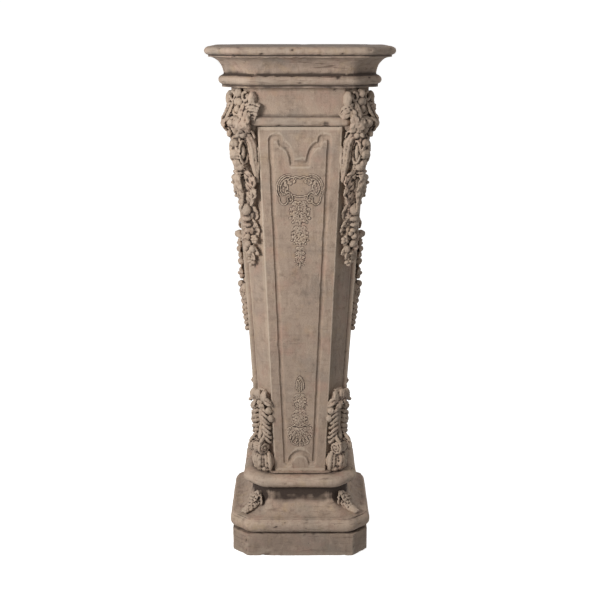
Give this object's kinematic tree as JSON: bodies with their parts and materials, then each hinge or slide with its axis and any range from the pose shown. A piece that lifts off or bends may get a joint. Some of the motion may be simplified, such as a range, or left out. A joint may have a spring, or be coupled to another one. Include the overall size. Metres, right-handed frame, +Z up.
{
  "type": "display pedestal",
  "caption": "Tapered square display pedestal in carved weathered stone, with moulded cap, sunk panels, scrolled and leafy corners, fruit drops, moulded base and plinth block.",
  "frame": {"origin": "middle of the plinth block's underside, on the floor", "axes": "+Z up; the front face, shown in the picture, looks along -Y; the carved side drops are on +X and -X"},
  "size_m": [0.41, 0.41, 1.1706],
  "materials": {
    "plinth_stone": "matt weathered terracotta, sooty and chipped",
    "base_stone": "matt weathered terracotta, warm beige",
    "shaft_stone": "matt weathered terracotta, warm beige with dark recesses",
    "cap_stone": "matt weathered terracotta, warm beige"
  },
  "bodies": {
    "root": {"plinth_block": "plinth_stone", "base": "base_stone", "shaft": "shaft_stone", "cap": "cap_stone"}
  },
  "joints": []
}
